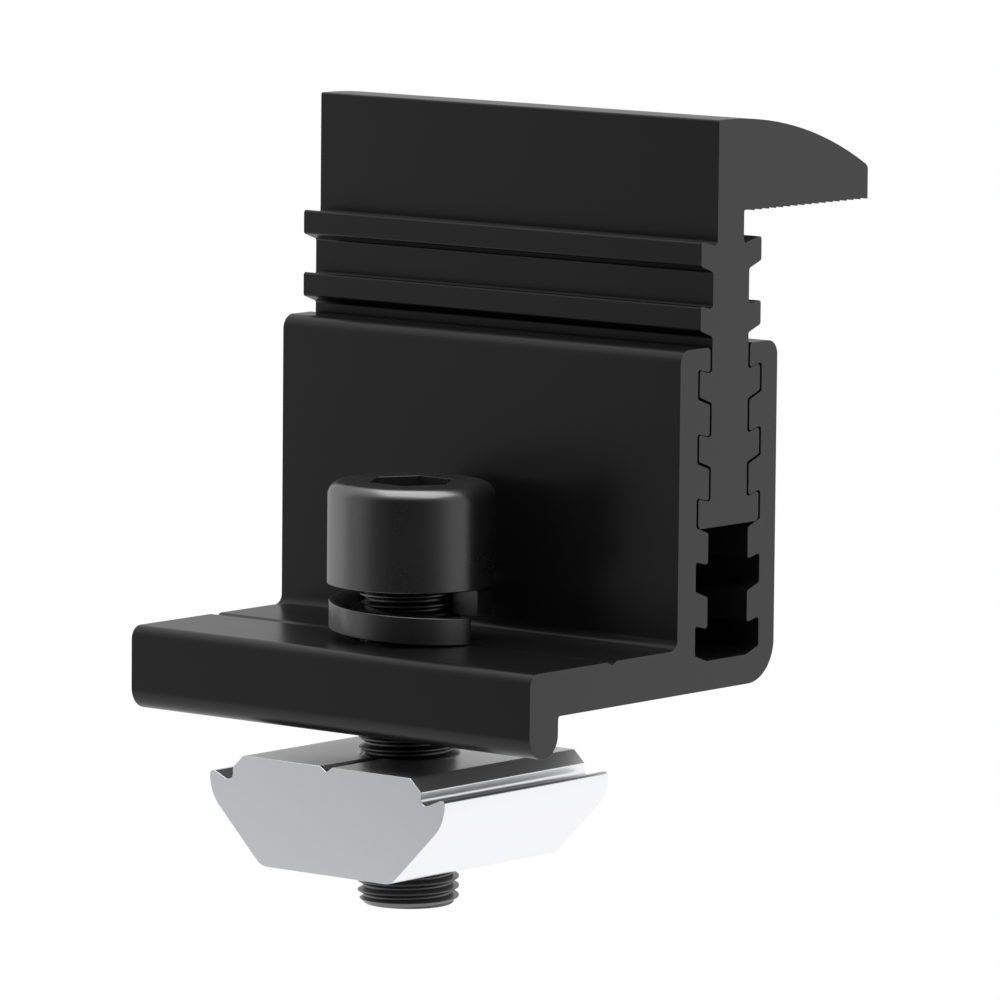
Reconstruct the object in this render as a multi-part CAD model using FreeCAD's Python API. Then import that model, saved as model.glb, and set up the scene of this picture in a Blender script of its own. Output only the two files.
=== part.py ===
"""Solar end clamp: bracket, hooked head, cap screw, split spring washer and rail nut.

Millimetres. X runs towards the hook, Y along the extrusions and Z up, away from the rail.
The origin is on the screw's axis, in the plane of the rail's top, where the heel rests.
"""
import FreeCAD
import Part
import math
import os

V = FreeCAD.Vector

# Bracket: a base with a heel on one side and a grooved channel on the other
length = 40.0
heel_drop = 3.1
base_thick = 3.5
heel_thick = 3.47
heel_outer_x = -10.0
heel_top_radius = 1.0
heel_root_radius = 0.25
base_end_radius = 3.2
wall_height = 23.15
wall_top_radius = 1.15
wall_mouth_radius = 0.4
wall_foot_radius = 0.8
scribe_width = 1.2
scribe_depth = 0.28
scribe_radius = 0.2
screw_hole = 9.0

# Channel: centred on channel_x, with barbed grooves one above the other in both walls
channel_x = 14.25
mouth_width = 4.98
groove_depth = 1.515
left_wall_thick = 2.25
right_wall_thick = 2.0
barb_pitch = 4.97
groove_count = 5
lowest_roof = 1.31
lowest_floor = -1.18
barb_angle = 13.0
flank_angle = 19.6
barb_nose_radius = 0.25
barb_corner_radius = 0.2

# Head: a hook on a toothed stem, hung in the channel's grooves by its barbs
side_play = 0.2
barb_play = 0.04
first_tooth = 2
tooth_count = 5
free_tooth_relief = 0.15
stem_end_height = 9.15
stem_end_radius = 0.45
neck_left_x = 12.47
neck_thick = 3.34
neck_radius = 0.3
head_height = 40.6
head_corner_radius = 0.2
dome_lead = 1.2
dome_radius = 37.7
dome_end_setback = 0.45
tip_x = 31.7
tip_radius = 0.6
jaw_height = 33.48
jaw_tooth_pitch = 0.91
jaw_tooth_depth = 0.1
jaw_tooth_count = 17

# Cap screw M8 x 25
screw_d = 8.0
screw_length = 25.0
screw_point = 0.5
head_d = 13.0
head_h = 8.0
head_edge_radius = 1.1
head_under_chamfer = 0.1
socket_flats = 6.0
socket_depth = 4.0
socket_drill_angle = 30.0

# Split spring washer, one turn of a square section wound left-handed
washer_inner_d = 8.1
washer_outer_d = 12.7
washer_thick = 2.1
washer_free_height = 4.2
washer_gap_angle = 6.0
washer_split_at = 270.0
washer_bevel = 0.08

# Rail nut
nut_length = 20.0
nut_top_below_rail = 2.45
nut_height = 8.45
nut_top_width = 16.8
nut_bevel_width = 18.94
nut_bevel_depth = 1.0
nut_bevel_radius = 0.15
nut_notch_depth = 2.26
nut_notch_radius = 0.5
nut_lip_width = 22.6
nut_lip_depth = 1.45
nut_lip_radius = 0.3
nut_width = 23.6
nut_shoulder_depth = 3.2
nut_flank_angle = 45.0
nut_flank_radius = 3.2
nut_bottom_radius = 1.5
nut_scribe_width = 1.2
nut_scribe_depth = 0.42
nut_bore_play = 0.05
nut_bore_chamfer = 0.4

# Levels and lines that follow from the sizes above
base_under = heel_drop
base_top = heel_drop + base_thick
wall_top = base_top + wall_height
heel_inner_x = heel_outer_x + heel_thick
mouth_half = mouth_width / 2
groove_half = mouth_half + groove_depth
left_wall_x = channel_x - groove_half - left_wall_thick
right_wall_x = channel_x + groove_half + right_wall_thick
stem_half = mouth_half - side_play
tooth_half = groove_half - side_play
neck_right_x = neck_left_x + neck_thick
barb_slope = math.tan(math.radians(barb_angle))
flank_slope = math.tan(math.radians(flank_angle))
screw_seat = base_top + washer_free_height
screw_end = screw_seat - screw_length


def roof_height(index, half):
    """Height of a groove's upper flank at a distance from the channel's centre."""
    return base_top + lowest_roof + index * barb_pitch + (half - mouth_half) * barb_slope


def floor_height(index, half):
    """Height of a groove's lower flank at a distance from the channel's centre."""
    return base_top + lowest_floor + index * barb_pitch + (half - mouth_half) * flank_slope


def tangent_points(before, corner, after, radius):
    """Start, middle and end of the arc that rounds one corner."""
    to_before = (before - corner).normalize()
    to_after = (after - corner).normalize()
    half_angle = to_before.getAngle(to_after) / 2
    reach = radius / math.tan(half_angle)
    middle_way = (to_before + to_after).normalize()
    middle = corner + middle_way * (radius / math.sin(half_angle) - radius)
    return corner + to_before * reach, middle, corner + to_after * reach


def rounded_face(corners, place):
    """Closed face from (a, b, radius) corners; place turns a and b into a point in space."""
    points = [place(a, b) for a, b, radius in corners]
    count = len(points)
    pieces = []
    for i, (a, b, radius) in enumerate(corners):
        here = points[i]
        if radius > 0:
            pieces.append(tangent_points(points[i - 1], here, points[(i + 1) % count], radius))
        else:
            pieces.append((here, None, here))
    edges = []
    for i, (start, middle, end) in enumerate(pieces):
        if middle is not None:
            edges.append(Part.Arc(start, middle, end).toShape())
        following = pieces[(i + 1) % count][0]
        if end.distanceToPoint(following) > 1e-6:
            edges.append(Part.makeLine(end, following))
    return Part.Face(Part.Wire(edges))


def along_y(corners):
    """Extrusion of an X-Z profile over the clamp's length."""
    face = rounded_face(corners, lambda x, z: V(x, -length / 2, z))
    return face.extrude(V(0, length, 0))


def along_x(corners, width):
    """Extrusion of a Y-Z profile, centred on the screw."""
    face = rounded_face(corners, lambda y, z: V(-width / 2, y, z))
    return face.extrude(V(width, 0, 0))


def turned(corners):
    """Solid turned about the screw's axis from an R-Z profile."""
    face = rounded_face(corners, lambda r, z: V(r, 0, z))
    return face.revolve(V(0, 0, 0), V(0, 0, 1), 360)


def groove_side(side):
    """Corners down one channel wall, from its mouth to the channel's floor."""
    land = channel_x + side * mouth_half
    depth = channel_x + side * groove_half
    corners = [(land, wall_top, wall_mouth_radius)]
    for index in range(groove_count - 1, -1, -1):
        corners += [
            (land, roof_height(index, mouth_half), barb_nose_radius),
            (depth, roof_height(index, groove_half), barb_corner_radius),
            (depth, floor_height(index, groove_half), barb_corner_radius),
            (land, floor_height(index, mouth_half), barb_corner_radius),
        ]
    return corners


def scribe(top, width, depth, radius):
    """The shallow V that marks the hole line, from left to right."""
    return [(-width / 2, top, 0), (0, top - depth, radius), (width / 2, top, 0)]


def make_bracket():
    heel_radius = heel_thick / 2
    corners = [(heel_outer_x, base_top, heel_top_radius)]
    corners += scribe(base_top, scribe_width, scribe_depth, scribe_radius)
    corners += [(left_wall_x, base_top, wall_foot_radius), (left_wall_x, wall_top, wall_top_radius)]
    corners += groove_side(-1) + groove_side(1)[::-1]
    corners += [
        (right_wall_x, wall_top, wall_top_radius),
        (right_wall_x, base_under, base_end_radius),
        (heel_inner_x, base_under, heel_root_radius),
        (heel_inner_x, 0, heel_radius),
        (heel_outer_x, 0, heel_radius),
    ]
    body = along_y(corners)
    hole = Part.makeCylinder(screw_hole / 2, base_thick + 2, V(0, 0, base_under - 1))
    return body.cut(hole)


def stem_side(side):
    """Corners down one side of the toothed stem, from its highest tooth to its end."""
    stem = channel_x + side * stem_half
    tip = channel_x + side * tooth_half
    lift = side_play / math.cos(math.radians(flank_angle))
    corners = []
    last = first_tooth + tooth_count - 1
    for index in range(last, first_tooth - 1, -1):
        relief = free_tooth_relief if index >= groove_count else 0
        if index == last:
            neck = neck_left_x if side < 0 else neck_right_x
            neck_half = abs(neck - channel_x)
            corners.append((neck, roof_height(index, neck_half) - barb_play, neck_radius))
        else:
            corners.append((stem, roof_height(index, stem_half) - barb_play, barb_nose_radius))
        corners.append((tip, roof_height(index, tooth_half) - barb_play, barb_nose_radius))
        if index == first_tooth:
            corners.append((tip, base_top + stem_end_height, stem_end_radius))
        else:
            low = lift + relief
            corners.append((tip, floor_height(index, tooth_half) + low, barb_nose_radius))
            corners.append((stem, floor_height(index, stem_half) + low, barb_nose_radius))
    return corners


def jaw_teeth():
    """Corners of the fine saw teeth under the hook, from its tip back to the neck."""
    root = base_top + jaw_height
    corners = []
    for i in range(jaw_tooth_count):
        x = tip_x - i * jaw_tooth_pitch
        corners.append((x, root - jaw_tooth_depth, 0))
        corners.append((x - jaw_tooth_pitch, root, 0))
    return corners


def make_clamp_head():
    top = base_top + head_height
    dome_start = neck_left_x + dome_lead
    dome_turn = math.asin((tip_x - dome_end_setback - dome_start) / dome_radius)
    crown_x = dome_start + dome_radius * math.tan(dome_turn / 2)
    tip_top = top - (tip_x - crown_x) * math.tan(dome_turn)
    corners = [
        (neck_left_x, top, head_corner_radius),
        (crown_x, top, dome_radius),
        (tip_x, tip_top, tip_radius),
    ]
    corners += jaw_teeth()
    corners.append((neck_right_x, base_top + jaw_height, neck_radius / 2))
    corners += stem_side(1) + stem_side(-1)[::-1]
    return along_y(corners)


def hexagon(flats, bottom, height):
    """Upright hexagonal prism with two of its flats facing along X."""
    reach = flats / 2 / math.cos(math.radians(30))
    ring = [math.radians(30 + 60 * i) for i in range(6)]
    points = [V(reach * math.cos(a), reach * math.sin(a), bottom) for a in ring]
    return Part.Face(Part.makePolygon(points + points[:1])).extrude(V(0, 0, height))


def make_cap_screw():
    head_top = screw_seat + head_h
    half_head = head_d / 2
    half = screw_d / 2
    solid = turned([
        (0, screw_end, 0),
        (half - screw_point, screw_end, 0),
        (half, screw_end + screw_point, 0),
        (half, screw_seat, 0),
        (half_head - head_under_chamfer, screw_seat, 0),
        (half_head, screw_seat + head_under_chamfer, 0),
        (half_head, head_top, head_edge_radius),
        (0, head_top, 0),
    ])
    socket_floor = head_top - socket_depth
    inner = socket_flats / 2
    drill_depth = inner * math.tan(math.radians(socket_drill_angle))
    drill = Part.makeCone(0, inner, drill_depth, V(0, 0, socket_floor - drill_depth))
    return solid.cut(hexagon(socket_flats, socket_floor, socket_depth + 1)).cut(drill)


def make_spring_washer():
    turn = 360.0 - washer_gap_angle
    rise = washer_free_height - washer_thick
    middle = (washer_inner_d + washer_outer_d) / 4
    width = (washer_outer_d - washer_inner_d) / 2
    spine = Part.makeHelix(rise * 360.0 / turn, rise, middle, 0, True)
    low, high = 0, washer_thick
    near, far = middle - width / 2, middle + width / 2
    cut = washer_bevel
    outline = [
        V(near + cut, 0, low), V(far - cut, 0, low), V(far, 0, low + cut), V(far, 0, high - cut),
        V(far - cut, 0, high), V(near + cut, 0, high), V(near, 0, high - cut), V(near, 0, low + cut),
    ]
    section = Part.makePolygon(outline + outline[:1])
    coil = Part.Wire(spine).makePipeShell([section], True, True)
    coil.rotate(V(0, 0, 0), V(0, 0, 1), washer_split_at - washer_gap_angle / 2)
    coil.translate(V(0, 0, base_top))
    return coil


def nut_side(side):
    """Corners down one side of the rail nut, from its top bevel to its underside."""
    top = -nut_top_below_rail
    half = nut_width / 2
    flank_drop = nut_height - nut_shoulder_depth
    bottom_half = half - flank_drop * math.tan(math.radians(nut_flank_angle))
    return [
        (side * nut_top_width / 2, top, nut_lip_radius),
        (side * nut_bevel_width / 2, top - nut_bevel_depth, nut_bevel_radius),
        (side * nut_bevel_width / 2, top - nut_notch_depth, nut_notch_radius),
        (side * nut_lip_width / 2, top - nut_lip_depth, nut_lip_radius),
        (side * half, top - nut_lip_depth, nut_lip_radius),
        (side * half, top - nut_shoulder_depth, nut_flank_radius),
        (side * bottom_half, top - nut_height, nut_bottom_radius),
    ]


def make_rail_nut():
    top = -nut_top_below_rail
    bore = screw_d / 2 + nut_bore_play
    corners = nut_side(1) + nut_side(-1)[::-1]
    corners += scribe(top, nut_scribe_width, nut_scribe_depth, scribe_radius)
    body = along_x(corners, nut_length)
    wide = bore + nut_bore_chamfer
    bottom = top - nut_height
    tool = Part.makeCylinder(bore, nut_height + 2, V(0, 0, bottom - 1))
    tool = tool.fuse(Part.makeCone(bore, wide, nut_bore_chamfer, V(0, 0, top - nut_bore_chamfer)))
    tool = tool.fuse(Part.makeCone(wide, bore, nut_bore_chamfer, V(0, 0, bottom)))
    return body.cut(tool)


makers = {
    "bracket": make_bracket,
    "clamp_head": make_clamp_head,
    "cap_screw": make_cap_screw,
    "spring_washer": make_spring_washer,
    "rail_nut": make_rail_nut,
}

os.makedirs("parts", exist_ok=True)
for node, make in makers.items():
    shape = make()
    shape.exportStep("parts/" + node + ".step")
    box = shape.BoundBox
    print(node, "valid", shape.isValid(), "solids", len(shape.Solids), "volume", round(shape.Volume, 1))
    print("  x", round(box.XMin, 2), round(box.XMax, 2), "y", round(box.YMin, 2), round(box.YMax, 2),
          "z", round(box.ZMin, 2), round(box.ZMax, 2))
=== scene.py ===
import bmesh
import bpy
import math
from mathutils import Matrix, Vector


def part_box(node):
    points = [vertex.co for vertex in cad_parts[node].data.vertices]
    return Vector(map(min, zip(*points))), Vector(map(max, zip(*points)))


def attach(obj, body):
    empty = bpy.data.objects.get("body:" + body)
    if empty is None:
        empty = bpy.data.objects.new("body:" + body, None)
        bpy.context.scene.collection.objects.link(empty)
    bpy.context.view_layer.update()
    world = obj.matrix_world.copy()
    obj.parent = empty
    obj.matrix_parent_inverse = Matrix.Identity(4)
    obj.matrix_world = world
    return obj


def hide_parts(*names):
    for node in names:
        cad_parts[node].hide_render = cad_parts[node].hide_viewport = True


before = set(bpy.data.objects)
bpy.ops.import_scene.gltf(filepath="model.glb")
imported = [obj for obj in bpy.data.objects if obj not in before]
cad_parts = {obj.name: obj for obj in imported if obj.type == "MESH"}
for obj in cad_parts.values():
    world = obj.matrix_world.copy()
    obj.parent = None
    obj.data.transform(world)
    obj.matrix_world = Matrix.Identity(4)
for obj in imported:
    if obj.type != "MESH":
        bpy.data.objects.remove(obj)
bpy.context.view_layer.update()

mm = 0.001  # the pieces are drawn in millimetres and brought to metres when they are finished
near = 0.01  # mm from a plane at which a point still counts as lying in it
squareOn = 0.99  # cosine above which a face counts as facing a direction
flatAngle = 0.2  # degrees within which neighbouring faces count as one flat
roundSides = 96  # corners of the bars that cut round holes
alongX, alongY = Vector((1, 0, 0)), Vector((0, 1, 0))


# Picking and editing

def selectOnly(piece):
    bpy.ops.object.select_all(action="DESELECT")
    piece.select_set(True)
    bpy.context.view_layer.objects.active = piece


def startOn(piece, parts="FACE"):
    selectOnly(piece)
    bpy.ops.object.mode_set(mode="EDIT")
    bpy.ops.mesh.select_mode(type=parts)
    bpy.ops.mesh.select_all(action="DESELECT")


def stopEditing():
    bpy.ops.object.mode_set(mode="OBJECT")


def pickFaces(piece, wanted):
    shape = bmesh.from_edit_mesh(piece.data)
    for face in shape.faces:
        face.select_set(wanted(face.calc_center_median(), face.normal))
    bmesh.update_edit_mesh(piece.data)


def pickEdges(piece, wanted):
    shape = bmesh.from_edit_mesh(piece.data)
    for edge in shape.edges:
        edge.select_set(wanted(edge.verts[0].co, edge.verts[1].co))
    bmesh.update_edit_mesh(piece.data)


def named(name):
    piece = bpy.context.object
    piece.name = piece.data.name = name
    bpy.ops.object.transform_apply(location=True, rotation=True, scale=True)
    return piece


def useModifier(piece, kind, **values):
    modifier = piece.modifiers.new(kind.lower(), kind)
    for key, value in values.items():
        setattr(modifier, key, value)
    bpy.context.view_layer.objects.active = piece
    bpy.ops.object.modifier_apply(modifier=modifier.name)


def combine(piece, tool, operation):
    useModifier(piece, "BOOLEAN", operation=operation, solver="EXACT", object=tool)
    bpy.data.objects.remove(tool)


def mergeDoubles(piece, distance=0.0005):
    startOn(piece)
    bpy.ops.mesh.select_all(action="SELECT")
    bpy.ops.mesh.remove_doubles(threshold=distance)
    bpy.ops.mesh.normals_make_consistent(inside=False)
    stopEditing()


def finishPiece(piece, node, body, smoothAngle):
    # To metres, then smooth with crisp edges, then tied to the frame
    selectOnly(piece)
    piece.scale = (mm, mm, mm)
    bpy.ops.object.transform_apply(location=True, rotation=True, scale=True)
    bpy.ops.object.shade_smooth_by_angle(angle=math.radians(smoothAngle))
    useModifier(piece, "WEIGHTED_NORMAL", keep_sharp=True, weight=100)
    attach(piece, body)
    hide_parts(node)
    print("made", piece.name, "with", len(piece.data.polygons), "faces")


# Extrusions: the section comes from the frame and is drawn out to its length, then the sawn ends
# are deburred

def drawnOut(node, name, direction, deburr):
    low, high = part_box(node)
    start, end = low.dot(direction) / mm, high.dot(direction) / mm
    piece = bpy.data.objects.new(name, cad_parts[node].data.copy())
    bpy.context.scene.collection.objects.link(piece)
    piece.scale = (1 / mm, 1 / mm, 1 / mm)
    selectOnly(piece)
    bpy.ops.object.transform_apply(location=False, rotation=False, scale=True)
    piece.data.materials.clear()
    mergeDoubles(piece)
    startOn(piece)
    pickFaces(piece, lambda place, facing:
              facing.dot(direction) > -squareOn or abs(place.dot(direction) - start) > near)
    bpy.ops.mesh.delete(type="FACE")
    bpy.ops.mesh.select_all(action="SELECT")
    bpy.ops.mesh.dissolve_limited(angle_limit=math.radians(flatAngle))
    bpy.ops.mesh.select_all(action="SELECT")
    bpy.ops.mesh.extrude_region_move(
        TRANSFORM_OT_translate={"value": direction * (end - start - 2 * deburr)})
    bpy.ops.mesh.select_all(action="SELECT")
    bpy.ops.transform.translate(value=direction * deburr)
    bpy.ops.mesh.normals_make_consistent(inside=False)
    pickFaces(piece, lambda place, facing: abs(facing.dot(direction)) > squareOn)
    bpy.ops.mesh.inset(thickness=deburr, depth=deburr, use_even_offset=True)
    stopEditing()
    return piece


def paintEnds(piece, direction, sides, ends):
    # Two finishes: the drawn sides, and the sawn ends, whose colour also carries painted light
    # (black ends) and painted shade (nut ends)
    piece.data.materials.append(sides)
    piece.data.materials.append(ends)
    startOn(piece)
    pickFaces(piece, lambda place, facing: abs(facing.dot(direction)) > squareOn)
    piece.active_material_index = 1
    bpy.ops.object.material_slot_assign()
    stopEditing()


# A standing bar with flared ends, used to cut holes and sockets

def boringBar(corners, radius, low, high, flare, openBelow=True):
    bpy.ops.mesh.primitive_cylinder_add(
        vertices=corners, radius=radius, depth=high - low, location=(0, 0, (low + high) / 2))
    bar = named("boringBar")
    startOn(bar)
    for up in ((1, -1) if openBelow else (1,)):
        pickFaces(bar, lambda place, facing: facing.z * up > squareOn)
        bpy.ops.transform.translate(value=(0, 0, -up * flare))
        bpy.ops.mesh.extrude_region_move(TRANSFORM_OT_translate={"value": (0, 0, up * flare)})
        bpy.ops.transform.resize(value=(1 + flare / radius, 1 + flare / radius, 1))
        bpy.ops.mesh.extrude_region_move(TRANSFORM_OT_translate={"value": (0, 0, up)})
    stopEditing()
    return bar


# Thread: one pitch of its profile is wound up the screw's axis

threadSettings = {
    "pitch": 0.75,
    "depth": 0.46,
    "crestWidth": 0.1,
    "rootWidth": 0.12,
    "steps": 72,
    "spareTurns": 2,  # wound past each end, then cut off
}


def threadedRod(name, radius, low, high):
    pitch, depth = threadSettings["pitch"], threadSettings["depth"]
    crest, root = threadSettings["crestWidth"] / 2, threadSettings["rootWidth"] / 2
    spare = threadSettings["spareTurns"]
    start = (math.floor(low / pitch) - spare) * pitch  # whole turns, so screw and nut mesh
    outline = [
        (radius, start - crest),
        (radius, start + crest),
        (radius - depth, start + pitch / 2 - root),
        (radius - depth, start + pitch / 2 + root),
        (radius, start + pitch - crest),
    ]
    bpy.ops.mesh.primitive_plane_add(size=0.1, location=(outline[0][0], 0, outline[0][1]))
    rod = named(name)
    startOn(rod, "VERT")
    bpy.ops.mesh.select_all(action="SELECT")
    bpy.ops.mesh.merge(type="CENTER")
    for before, after in zip(outline, outline[1:]):
        step = (after[0] - before[0], 0, after[1] - before[1])
        bpy.ops.mesh.extrude_region_move(TRANSFORM_OT_translate={"value": step})
    stopEditing()
    turns = math.ceil((high - low) / pitch) + 2 * spare
    useModifier(rod, "SCREW", axis="Z", angle=math.tau, screw_offset=pitch, iterations=turns,
                steps=threadSettings["steps"], render_steps=threadSettings["steps"])
    mergeDoubles(rod, distance=0.001)
    startOn(rod)
    for cut, facing in ((low, -1), (high, 1)):
        bpy.ops.mesh.select_all(action="SELECT")
        bpy.ops.mesh.bisect(
            plane_co=(0, 0, cut), plane_no=(0, 0, facing), use_fill=True, clear_outer=True)
    bpy.ops.mesh.select_all(action="SELECT")
    bpy.ops.mesh.normals_make_consistent(inside=False)
    stopEditing()
    return rod


# The bracket

bracketSettings = {
    "deburr": 0.02,
    "holeRadius": 4.5,
    "holeFlare": 0.2,
    "drillTurn": 1.1,  # keeps the drill's corners off the scribed line
    "baseUnder": 3.1,
    "baseTop": 6.6,
    "smoothAngle": 35,
}


def makeBracket(sides, ends):
    size = bracketSettings
    piece = drawnOut("bracket", "channelBracket", alongY, size["deburr"])
    drill = boringBar(
        roundSides, size["holeRadius"], size["baseUnder"], size["baseTop"], size["holeFlare"])
    drill.rotation_euler.z = math.radians(size["drillTurn"])
    combine(piece, drill, "DIFFERENCE")
    paintEnds(piece, alongY, sides, ends)
    finishPiece(piece, "bracket", "bracket", size["smoothAngle"])


# The hooked head

headSettings = {"deburr": 0.02, "smoothAngle": 35}


def makeHead(sides, ends):
    size = headSettings
    piece = drawnOut("clamp_head", "hookedHead", alongY, size["deburr"])
    paintEnds(piece, alongY, sides, ends)
    finishPiece(piece, "clamp_head", "clamp_head", size["smoothAngle"])


# The cap screw: a turned head with a hexagon socket on a threaded shank

screwSettings = {
    "radius": 3.94,
    "end": -14.2,
    "point": 0.5,
    "seat": 10.8,
    "headRadius": 6.5,
    "headHeight": 8.0,
    "rimRadius": 1.1,
    "underChamfer": 0.1,
    "socketFlats": 6.0,
    "socketDepth": 4.0,
    "socketFlare": 0.01,
    "drillSlope": 30,
    "drillInset": 0.02,  # keeps the drill's rim off the socket's flats
    "headSides": 160,
    "rimSteps": 12,
    "overlap": 0.5,  # how far the shank reaches into the head
    "blankMargin": 0.1,  # how far the pointed blank stands clear of the thread
    "blankRise": 2,
    "smoothAngle": 32,
}


def makeScrew(finish):
    size = screwSettings
    seat, top = size["seat"], size["seat"] + size["headHeight"]
    bpy.ops.mesh.primitive_cylinder_add(vertices=size["headSides"], radius=size["headRadius"],
                                        depth=size["headHeight"], location=(0, 0, (seat + top) / 2))
    screw = named("socketCapScrew")
    startOn(screw, "EDGE")
    pickEdges(screw, lambda a, b: a.z > top - near and b.z > top - near)
    bpy.ops.mesh.bevel(offset=size["rimRadius"], segments=size["rimSteps"], affect="EDGES")
    pickEdges(screw, lambda a, b: a.z < seat + near and b.z < seat + near)
    bpy.ops.mesh.bevel(offset=size["underChamfer"], segments=3, affect="EDGES")
    stopEditing()

    inner = size["socketFlats"] / 2
    floor = top - size["socketDepth"]
    corner = inner / math.cos(math.radians(30))  # from a hexagon's flats to its corners
    socket = boringBar(6, corner, floor, top, size["socketFlare"], openBelow=False)
    combine(screw, socket, "DIFFERENCE")
    drillDepth = inner * math.tan(math.radians(size["drillSlope"]))
    bpy.ops.mesh.primitive_cone_add(
        vertices=64, radius1=0, radius2=inner - size["drillInset"], depth=drillDepth,
        location=(0, 0, floor - drillDepth / 2))
    drill = named("drillPoint")
    startOn(drill)
    pickFaces(drill, lambda place, facing: facing.z > squareOn)
    bpy.ops.mesh.extrude_region_move(TRANSFORM_OT_translate={"value": (0, 0, size["overlap"])})
    stopEditing()
    combine(screw, drill, "DIFFERENCE")

    shank = threadedRod("shank", size["radius"], size["end"], seat + size["overlap"])
    blankTop = seat + size["blankRise"]
    bpy.ops.mesh.primitive_cylinder_add(
        vertices=roundSides, radius=size["radius"] + size["blankMargin"],
        depth=blankTop - size["end"], location=(0, 0, (blankTop + size["end"]) / 2))
    blank = named("blank")
    startOn(blank, "EDGE")
    pickEdges(blank, lambda a, b: a.z < size["end"] + near and b.z < size["end"] + near)
    bpy.ops.mesh.bevel(offset=size["point"] + size["blankMargin"], segments=1, affect="EDGES")
    stopEditing()
    combine(shank, blank, "INTERSECT")
    combine(screw, shank, "UNION")
    mergeDoubles(screw)
    screw.data.materials.append(finish)
    finishPiece(screw, "cap_screw", "cap_screw", size["smoothAngle"])


# The split washer: a square section wound nearly one turn, left-handed

washerSettings = {
    "innerRadius": 4.05,
    "outerRadius": 6.35,
    "thick": 2.1,
    "rise": 2.1,
    "base": 6.6,
    "turn": 354,
    "startAngle": 267,
    "cornerRadius": 0.08,
    "cutRadius": 0.05,
    "cutAngle": 60,  # degrees past which an edge gets the cut's small radius
    "steps": 144,
    "smoothAngle": 40,
}


def makeWasher(finish):
    size = washerSettings
    middle = (size["innerRadius"] + size["outerRadius"]) / 2
    wide = size["outerRadius"] - size["innerRadius"]
    bpy.ops.mesh.primitive_plane_add(
        size=1, rotation=(math.pi / 2, 0, 0),
        location=(middle, 0, size["base"] + size["thick"] / 2))
    bpy.context.object.scale = (wide, size["thick"], 1)
    washer = named("splitWasher")
    startOn(washer, "VERT")
    bpy.ops.mesh.select_all(action="SELECT")
    bpy.ops.mesh.bevel(offset=size["cornerRadius"], segments=3, affect="VERTICES")
    bpy.ops.mesh.select_all(action="SELECT")
    bpy.ops.mesh.delete(type="ONLY_FACE")
    bpy.ops.mesh.select_all(action="SELECT")
    bpy.ops.transform.rotate(value=-math.radians(size["startAngle"]), orient_axis="Z",
                             center_override=(0, 0, 0))
    stopEditing()
    useModifier(washer, "SCREW", axis="Z", angle=-math.radians(size["turn"]),
                screw_offset=size["rise"], steps=size["steps"], render_steps=size["steps"])
    startOn(washer, "EDGE")
    bpy.ops.mesh.select_non_manifold()
    bpy.ops.mesh.fill_holes(sides=0)
    stopEditing()
    mergeDoubles(washer)
    useModifier(washer, "BEVEL", width=size["cutRadius"], segments=2, limit_method="ANGLE",
                angle_limit=math.radians(size["cutAngle"]))
    washer.data.materials.append(finish)
    finishPiece(washer, "spring_washer", "bracket", size["smoothAngle"])


# The rail nut: an extrusion across the rail, with the thread cut through it

nutSettings = {
    "deburr": 0.015,
    "top": -2.45,
    "bottom": -10.9,
    "play": 0.05,
    "mouthFlare": 0.05,
    "tapReach": 1,  # how far the tap stands out of the nut
    "smoothAngle": 35,
}


def makeNut(sides, ends):
    size = nutSettings
    nut = drawnOut("rail_nut", "railNut", alongX, size["deburr"])
    bore = screwSettings["radius"] + size["play"]
    reach = size["tapReach"]
    tap = threadedRod("tap", bore, size["bottom"] - reach, size["top"] + reach)
    combine(nut, tap, "DIFFERENCE")
    root = bore - threadSettings["depth"]
    flare = size["mouthFlare"] + threadSettings["depth"]
    combine(nut, boringBar(roundSides, root, size["bottom"], size["top"], flare), "DIFFERENCE")
    mergeDoubles(nut)
    paintEnds(nut, alongX, sides, ends)
    finishPiece(nut, "rail_nut", "rail_nut", size["smoothAngle"])


# Shader building

def addNode(tree, kind, inputs=None, **values):
    node = tree.nodes.new(kind)
    for key, value in values.items():
        setattr(node, key, value)
    for key, value in (inputs or {}).items():
        if isinstance(value, bpy.types.NodeSocket):
            tree.links.new(value, node.inputs[key])
        else:
            node.inputs[key].default_value = value
    return node


def startGroup(name, inputs, outputs):
    tree = bpy.data.node_groups.new(name, "ShaderNodeTree")
    for socket, (kind, value) in inputs.items():
        made = tree.interface.new_socket(socket, in_out="INPUT", socket_type=kind)
        if value is not None:
            made.default_value = value
    for socket, kind in outputs.items():
        tree.interface.new_socket(socket, in_out="OUTPUT", socket_type=kind)
    return tree, tree.nodes.new("NodeGroupInput").outputs, tree.nodes.new("NodeGroupOutput")


def mathNode(tree, operation, first, second=0.0, third=0.0, clamp=False):
    return addNode(tree, "ShaderNodeMath", {0: first, 1: second, 2: third},
                   operation=operation, use_clamp=clamp).outputs[0]


# Fine lines that the die leaves, along whichever way the Vector is stretched

dieLineSettings = {
    "fineDetail": 3.0,
    "fineRoughness": 0.65,
    "broadScale": 0.13,  # of the fine lines' own
    "broadDetail": 2.0,
    "broadHeight": 0.6,
    "fineShade": 0.4,
    "broadShade": 0.6,
}


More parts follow.
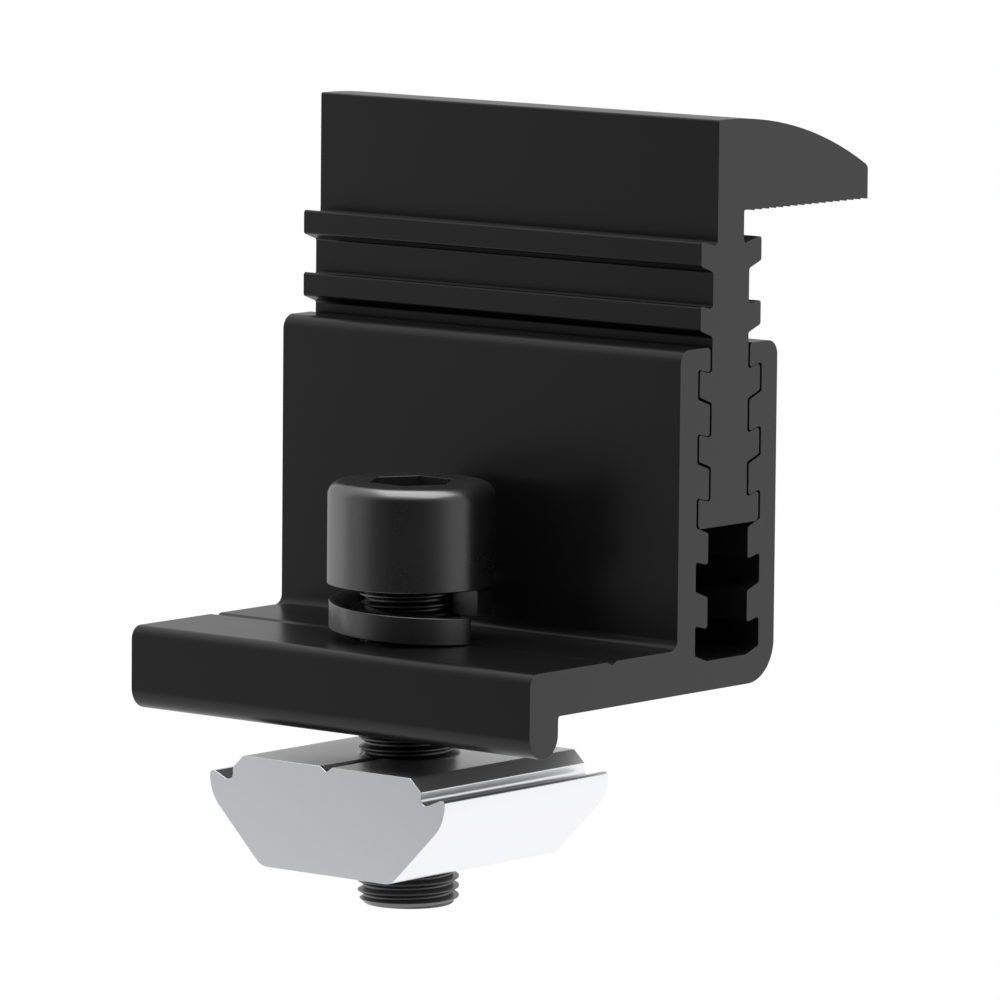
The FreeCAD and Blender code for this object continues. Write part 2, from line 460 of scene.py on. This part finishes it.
def makeDieLines():
    size = dieLineSettings
    tree, given, out = startGroup(
        "dieLines",
        {"Vector": ("NodeSocketVector", None), "Fineness": ("NodeSocketFloat", 2000.0)},
        {"Height": "NodeSocketFloat", "Shade": "NodeSocketFloat"})
    fine = addNode(tree, "ShaderNodeTexNoise",
                   {"Vector": given["Vector"], "Scale": given["Fineness"],
                    "Detail": size["fineDetail"], "Roughness": size["fineRoughness"]})
    broadScale = mathNode(tree, "MULTIPLY", given["Fineness"], size["broadScale"])
    broad = addNode(tree, "ShaderNodeTexNoise",
                    {"Vector": given["Vector"], "Scale": broadScale,
                     "Detail": size["broadDetail"]})
    height = mathNode(tree, "MULTIPLY_ADD", broad.outputs[0], size["broadHeight"], fine.outputs[0])
    shade = mathNode(tree, "MULTIPLY_ADD", fine.outputs[0], size["fineShade"],
                     mathNode(tree, "MULTIPLY", broad.outputs[0], size["broadShade"]))
    tree.links.new(height, out.inputs["Height"])
    tree.links.new(shade, out.inputs["Shade"])
    return tree


# Arcs that the saw leaves, round the blade's centre

sawMarkSettings = {
    "ringDetail": 3.0,
    "patchScale": 300.0,
    "patchDetail": 3.0,
    "patchHeight": 0.3,
    "ringShade": 0.6,
    "patchShade": 0.4,
}


def makeSawMarks():
    size = sawMarkSettings
    tree, given, out = startGroup(
        "sawMarks",
        {"Vector": ("NodeSocketVector", None), "Centre": ("NodeSocketVector", None),
         "Spacing": ("NodeSocketFloat", 0.0004)},
        {"Height": "NodeSocketFloat", "Shade": "NodeSocketFloat"})
    away = addNode(tree, "ShaderNodeVectorMath", {0: given["Vector"], 1: given["Centre"]},
                   operation="DISTANCE").outputs["Value"]
    turns = mathNode(tree, "DIVIDE", away, given["Spacing"])
    ring = addNode(tree, "ShaderNodeTexNoise",
                   {"W": turns, "Scale": 1.0, "Detail": size["ringDetail"]},
                   noise_dimensions="1D").outputs[0]
    patch = addNode(tree, "ShaderNodeTexNoise",
                    {"Vector": given["Vector"], "Scale": size["patchScale"],
                     "Detail": size["patchDetail"]}).outputs[0]
    height = mathNode(tree, "MULTIPLY_ADD", patch, size["patchHeight"], ring)
    shade = mathNode(tree, "MULTIPLY_ADD", ring, size["ringShade"],
                     mathNode(tree, "MULTIPLY", patch, size["patchShade"]))
    tree.links.new(height, out.inputs["Height"])
    tree.links.new(shade, out.inputs["Shade"])
    return tree


# Rubbed edges: where a rounded normal leaves the true one

edgeWearSettings = {
    "sharp": 0.97,  # cosine between the two normals below which an edge is rubbed
    "samples": 4,
    "patchScale": 400.0,
    "patchDetail": 4.0,
}


def makeEdgeWear():
    size = edgeWearSettings
    tree, given, out = startGroup(
        "edgeWear",
        {"Width": ("NodeSocketFloat", 0.0001), "Amount": ("NodeSocketFloat", 0.5)},
        {"Mask": "NodeSocketFloat"})
    rounded = addNode(tree, "ShaderNodeBevel", {"Radius": given["Width"]}, samples=size["samples"])
    true = addNode(tree, "ShaderNodeNewGeometry")
    same = addNode(tree, "ShaderNodeVectorMath",
                   {0: rounded.outputs[0], 1: true.outputs["Normal"]}, operation="DOT_PRODUCT")
    turned = mathNode(tree, "SUBTRACT", size["sharp"], same.outputs["Value"], clamp=True)
    place = addNode(tree, "ShaderNodeTexCoord").outputs["Object"]
    patchy = addNode(tree, "ShaderNodeTexNoise",
                     {"Vector": place, "Scale": size["patchScale"], "Detail": size["patchDetail"]})
    strong = mathNode(tree, "MULTIPLY", turned, given["Amount"])
    tree.links.new(mathNode(tree, "MULTIPLY", strong, patchy.outputs[0], clamp=True),
                   out.inputs["Mask"])
    return tree


dieLines, sawMarks, edgeWear = makeDieLines(), makeSawMarks(), makeEdgeWear()


def emptyMaterial(name):
    material = bpy.data.materials.new(name)
    material.use_nodes = True
    material.node_tree.nodes.clear()
    return material, material.node_tree


def startMaterial(name):
    material, tree = emptyMaterial(name)
    shader = addNode(tree, "ShaderNodeBsdfPrincipled")
    addNode(tree, "ShaderNodeOutputMaterial", {"Surface": shader.outputs[0]})
    place = addNode(tree, "ShaderNodeTexCoord").outputs["Object"]
    return material, tree, shader, place


def stretched(tree, place, scale):
    return addNode(tree, "ShaderNodeMapping", {"Vector": place, "Scale": scale}).outputs[0]


# One finish: its marks set colour, roughness and bump, and its edges are rubbed

def makeFinish(name, size, marks):
    material, tree, shader, place = startMaterial(name)
    height, shade = marks(tree, place, size)
    # Inputs 6 and 7 of a Mix node are its two colours, and output 2 is their mixture
    colour = addNode(tree, "ShaderNodeMix",
                     {"Factor": shade, 6: size["colour"], 7: size["paler"]}, data_type="RGBA")
    wear = addNode(tree, "ShaderNodeGroup",
                   {"Width": size["wearWidth"], "Amount": size["wearAmount"]}, node_tree=edgeWear)
    worn = addNode(tree, "ShaderNodeMix",
                   {"Factor": wear.outputs["Mask"], 6: colour.outputs[2], 7: size["rubbed"]},
                   data_type="RGBA")
    low, high = size["roughness"]
    rough = addNode(tree, "ShaderNodeMapRange", {"Value": shade, "To Min": low, "To Max": high})
    bump = addNode(tree, "ShaderNodeBump", {"Height": height, "Strength": size["bump"],
                                            "Distance": size["bumpDistance"]})
    tree.links.new(worn.outputs[2], shader.inputs["Base Color"])
    tree.links.new(rough.outputs[0], shader.inputs["Roughness"])
    tree.links.new(bump.outputs[0], shader.inputs["Normal"])
    shader.inputs["Specular IOR Level"].default_value = size["gloss"]
    shader.inputs["IOR"].default_value = size.get("ior", 1.5)
    shader.inputs["Metallic"].default_value = size.get("metallic", 0.0)
    return material


def dieMarks(tree, place, size):
    drawn = stretched(tree, place, size["stretch"])
    lines = addNode(tree, "ShaderNodeGroup",
                    {"Vector": drawn, "Fineness": size["fineness"]}, node_tree=dieLines)
    return lines.outputs["Height"], lines.outputs["Shade"]


def sawnMarks(tree, place, size):
    marks = addNode(
        tree, "ShaderNodeGroup",
        {"Vector": place, "Centre": size["bladeCentre"], "Spacing": size["toothSpacing"]},
        node_tree=sawMarks)
    return marks.outputs["Height"], marks.outputs["Shade"]


# Black anodised sides, with die lines along the extrusion

anodisedSettings = {
    "colour": (0.0050, 0.0050, 0.0053, 1),
    "paler": (0.0068, 0.0068, 0.0072, 1),
    "rubbed": (0.03, 0.03, 0.032, 1),
    "gloss": 0.30,
    "roughness": (0.25, 0.32),
    "stretch": (1, 0.012, 1),
    "fineness": 2600.0,
    "bump": 0.05,
    "bumpDistance": 0.00002,
    "wearWidth": 0.00006,
    "wearAmount": 0.4,
}

# Sawn ends of the black extrusions: paler and glossier than the sides, partly for the sawn finish
# and partly as painted light standing in for the light that falls on the end faces

sawnPaintedLightSettings = {
    "colour": (0.010, 0.010, 0.0103, 1),
    "paler": (0.013, 0.013, 0.0134, 1),
    "rubbed": (0.03, 0.03, 0.032, 1),
    "gloss": 0.5,
    "roughness": (0.32, 0.38),
    "bladeCentre": (0.06, 0.0, -0.13),
    "toothSpacing": 0.0004,
    "bump": 0.05,
    "bumpDistance": 0.00002,
    "wearWidth": 0.00006,
    "wearAmount": 0.3,
}

# Black oxide on the screw and the washer

oxideSettings = {
    "colour": (0.005, 0.005, 0.005, 1),
    "paler": (0.008, 0.008, 0.008, 1),
    "rubbed": (0.03, 0.03, 0.032, 1),
    "gloss": 1.0,
    "ior": 1.64,
    "roughness": (0.25, 0.31),
    "stretch": (1, 1, 1),
    "fineness": 3000.0,
    "bump": 0.03,
    "bumpDistance": 0.00001,
    "wearWidth": 0.00008,
    "wearAmount": 0.6,
}

# Bare aluminium of the rail nut

aluminiumSettings = {
    "colour": (0.95, 0.953, 0.97, 1),
    "paler": (0.98, 0.982, 0.995, 1),
    "rubbed": (0.98, 0.98, 0.98, 1),
    "gloss": 0.5,
    "metallic": 1.0,
    "roughness": (0.27, 0.34),
    "stretch": (0.012, 1, 1),
    "fineness": 2200.0,
    "bump": 0.08,
    "bumpDistance": 0.00002,
    "wearWidth": 0.00006,
    "wearAmount": 0.15,
}

# Sawn ends of the rail nut: darker and bluer than the sides, partly for the sawn finish and partly
# as painted shade standing in for the weaker light on the end faces

sawnAluminiumPaintedShadeSettings = {
    "colour": (0.765, 0.78, 0.818, 1),
    "paler": (0.795, 0.812, 0.848, 1),
    "rubbed": (0.95, 0.955, 0.97, 1),
    "gloss": 0.5,
    "metallic": 1.0,
    "roughness": (0.38, 0.46),
    "bladeCentre": (0.0, 0.05, -0.12),
    "toothSpacing": 0.00035,
    "bump": 0.06,
    "bumpDistance": 0.00002,
    "wearWidth": 0.00006,
    "wearAmount": 0.15,
}

blackAnodised = makeFinish("blackAnodised", anodisedSettings, dieMarks)
# the black ends' colour is partly the sawn finish, partly painted light on the end faces
blackSawnPaintedLight = makeFinish("blackSawnEndsPaintedLight", sawnPaintedLightSettings, sawnMarks)
blackOxide = makeFinish("blackOxide", oxideSettings, dieMarks)
millAluminium = makeFinish("millAluminium", aluminiumSettings, dieMarks)
# the nut ends' colour is partly the sawn finish, partly painted shade on the end faces
sawnAluminiumPaintedShade = makeFinish("sawnAluminiumPaintedShade", sawnAluminiumPaintedShadeSettings, sawnMarks)
print("finishes made")

makeBracket(blackAnodised, blackSawnPaintedLight)
makeHead(blackAnodised, blackSawnPaintedLight)
makeScrew(blackOxide)
makeWasher(blackOxide)
makeNut(millAluminium, sawnAluminiumPaintedShade)

# Floor, light and camera

studioSettings = {
    "floorHeight": -0.04,
    "floorSize": 12.0,
    "floorColour": (0.86, 0.86, 0.86, 1),
    "ambient": 0.35,
    "wallRadius": 0.12,
    "wallHeight": 0.16,
    "wallTurn": 8,  # degrees by which the dark side is turned from the camera's
    "wallSides": 96,
    "wallShades": [(0.01, 0.60), (0.30, 1.0), (0.48, 1.0), (0.53, 0.60), (0.71, 0.56),
                   (0.86, 0.17), (0.98, 0.05)],
}


def whiteRays(tree):
    # 1 for what is seen directly, in reflections or through glass, 0 for other light
    path = addNode(tree, "ShaderNodeLightPath")
    seen = mathNode(tree, "MAXIMUM", path.outputs["Is Camera Ray"], path.outputs["Is Glossy Ray"])
    seen = mathNode(tree, "MAXIMUM", seen, path.outputs["Is Transmission Ray"])
    return seen


def makeFloor():
    size = studioSettings
    bpy.ops.mesh.primitive_plane_add(size=size["floorSize"], location=(0, 0, size["floorHeight"]))
    floor = named("studioFloor")
    material, tree = emptyMaterial("paleFloor")
    lit = addNode(tree, "ShaderNodeBsdfDiffuse", {"Color": size["floorColour"]})
    white = addNode(tree, "ShaderNodeEmission", {"Strength": 1.0})
    shown = addNode(tree, "ShaderNodeMixShader", {0: whiteRays(tree), 1: lit.outputs[0],
                                                  2: white.outputs[0]})
    addNode(tree, "ShaderNodeOutputMaterial", {"Surface": shown.outputs[0]})
    floor.data.materials.append(material)


def makeSurround():
    # A grey wall round the object, dark on the camera's side, which shows only in reflections
    size = studioSettings
    bpy.ops.mesh.primitive_cylinder_add(
        vertices=size["wallSides"], radius=size["wallRadius"], depth=size["wallHeight"],
        end_fill_type="NOTHING",
        location=(0, 0, size["floorHeight"] + size["wallHeight"] / 2))
    wall = named("greySurround")
    material, tree = emptyMaterial("greySurround")
    place = addNode(tree, "ShaderNodeTexCoord").outputs["Object"]
    heading = math.radians(cameraSettings["heading"] - size["wallTurn"])
    reach = 0.5 / size["wallRadius"]  # shades run from 0 at the far side to 1 at the camera's
    direction = (-math.cos(heading) * reach, -math.sin(heading) * reach, 0)
    towardsCamera = addNode(tree, "ShaderNodeVectorMath", {0: place, 1: direction},
                            operation="DOT_PRODUCT").outputs["Value"]
    shade = addNode(tree, "ShaderNodeValToRGB", {0: mathNode(tree, "ADD", towardsCamera, 0.5)})
    stops = shade.color_ramp.elements
    for where, grey in size["wallShades"]:
        stop = stops.new(where)
        stop.color = (grey, grey, grey, 1)
    stops.remove(stops[len(stops) - 1])
    stops.remove(stops[0])
    glow = addNode(tree, "ShaderNodeEmission", {"Color": shade.outputs[0]})
    addNode(tree, "ShaderNodeOutputMaterial", {"Surface": glow.outputs[0]})
    wall.data.materials.append(material)
    wall.visible_camera = wall.visible_diffuse = False
    wall.visible_shadow = wall.visible_transmission = False


def makeWorld():
    world = bpy.data.worlds.new("studioWorld")
    world.use_nodes = True
    tree = world.node_tree
    tree.nodes.clear()
    strength = addNode(tree, "ShaderNodeMapRange", {"Value": whiteRays(tree), "To Max": 1.0,
                                                    "To Min": studioSettings["ambient"]})
    sky = addNode(tree, "ShaderNodeBackground",
                  {"Color": (1, 1, 1, 1), "Strength": strength.outputs[0]})
    addNode(tree, "ShaderNodeOutputWorld", {"Surface": sky.outputs[0]})
    bpy.context.scene.world = world


lampSettings = {
    "overhead": {"place": (0.03, -0.05, 0.5), "size": 0.6, "power": 3.3},
}
objectMiddle = Vector((0.005, 0, 0.012))


def makeLamps():
    for name, size in lampSettings.items():
        bpy.ops.object.light_add(type="AREA", location=size["place"])
        lamp = bpy.context.object
        lamp.name = name
        lamp.data.size = size["size"]
        lamp.data.energy = size["power"]
        lamp.rotation_euler = (objectMiddle - lamp.location).to_track_quat("-Z", "Y").to_euler()
        lamp.visible_camera = False


cameraSettings = {
    "place": (-0.49723, -0.41213, 0.09660),
    "heading": 39.045,
    "tilt": 6.995,
    "roll": 0.527,
    "lens": 302.62,
    "sensor": 36,
    "clip": (0.01, 50),
}


def makeCamera():
    size = cameraSettings
    bpy.ops.object.camera_add(location=size["place"])
    camera = bpy.context.object
    camera.name = "photoCamera"
    turn = Matrix.Rotation(math.radians(size["heading"] - 90), 3, "Z")
    nod = Matrix.Rotation(math.radians(90 - size["tilt"]), 3, "X")
    lean = Matrix.Rotation(math.radians(size["roll"]), 3, "Z")
    camera.rotation_euler = (turn @ nod @ lean).to_euler()
    camera.data.lens = size["lens"]
    camera.data.sensor_width = size["sensor"]
    camera.data.sensor_fit = "HORIZONTAL"
    camera.data.clip_start, camera.data.clip_end = size["clip"]
    bpy.context.scene.camera = camera


makeFloor()
makeSurround()
makeWorld()
makeLamps()
makeCamera()
print("floor, surround, world, lamp and camera made")
bpy.context.scene.view_settings.view_transform = "Standard"
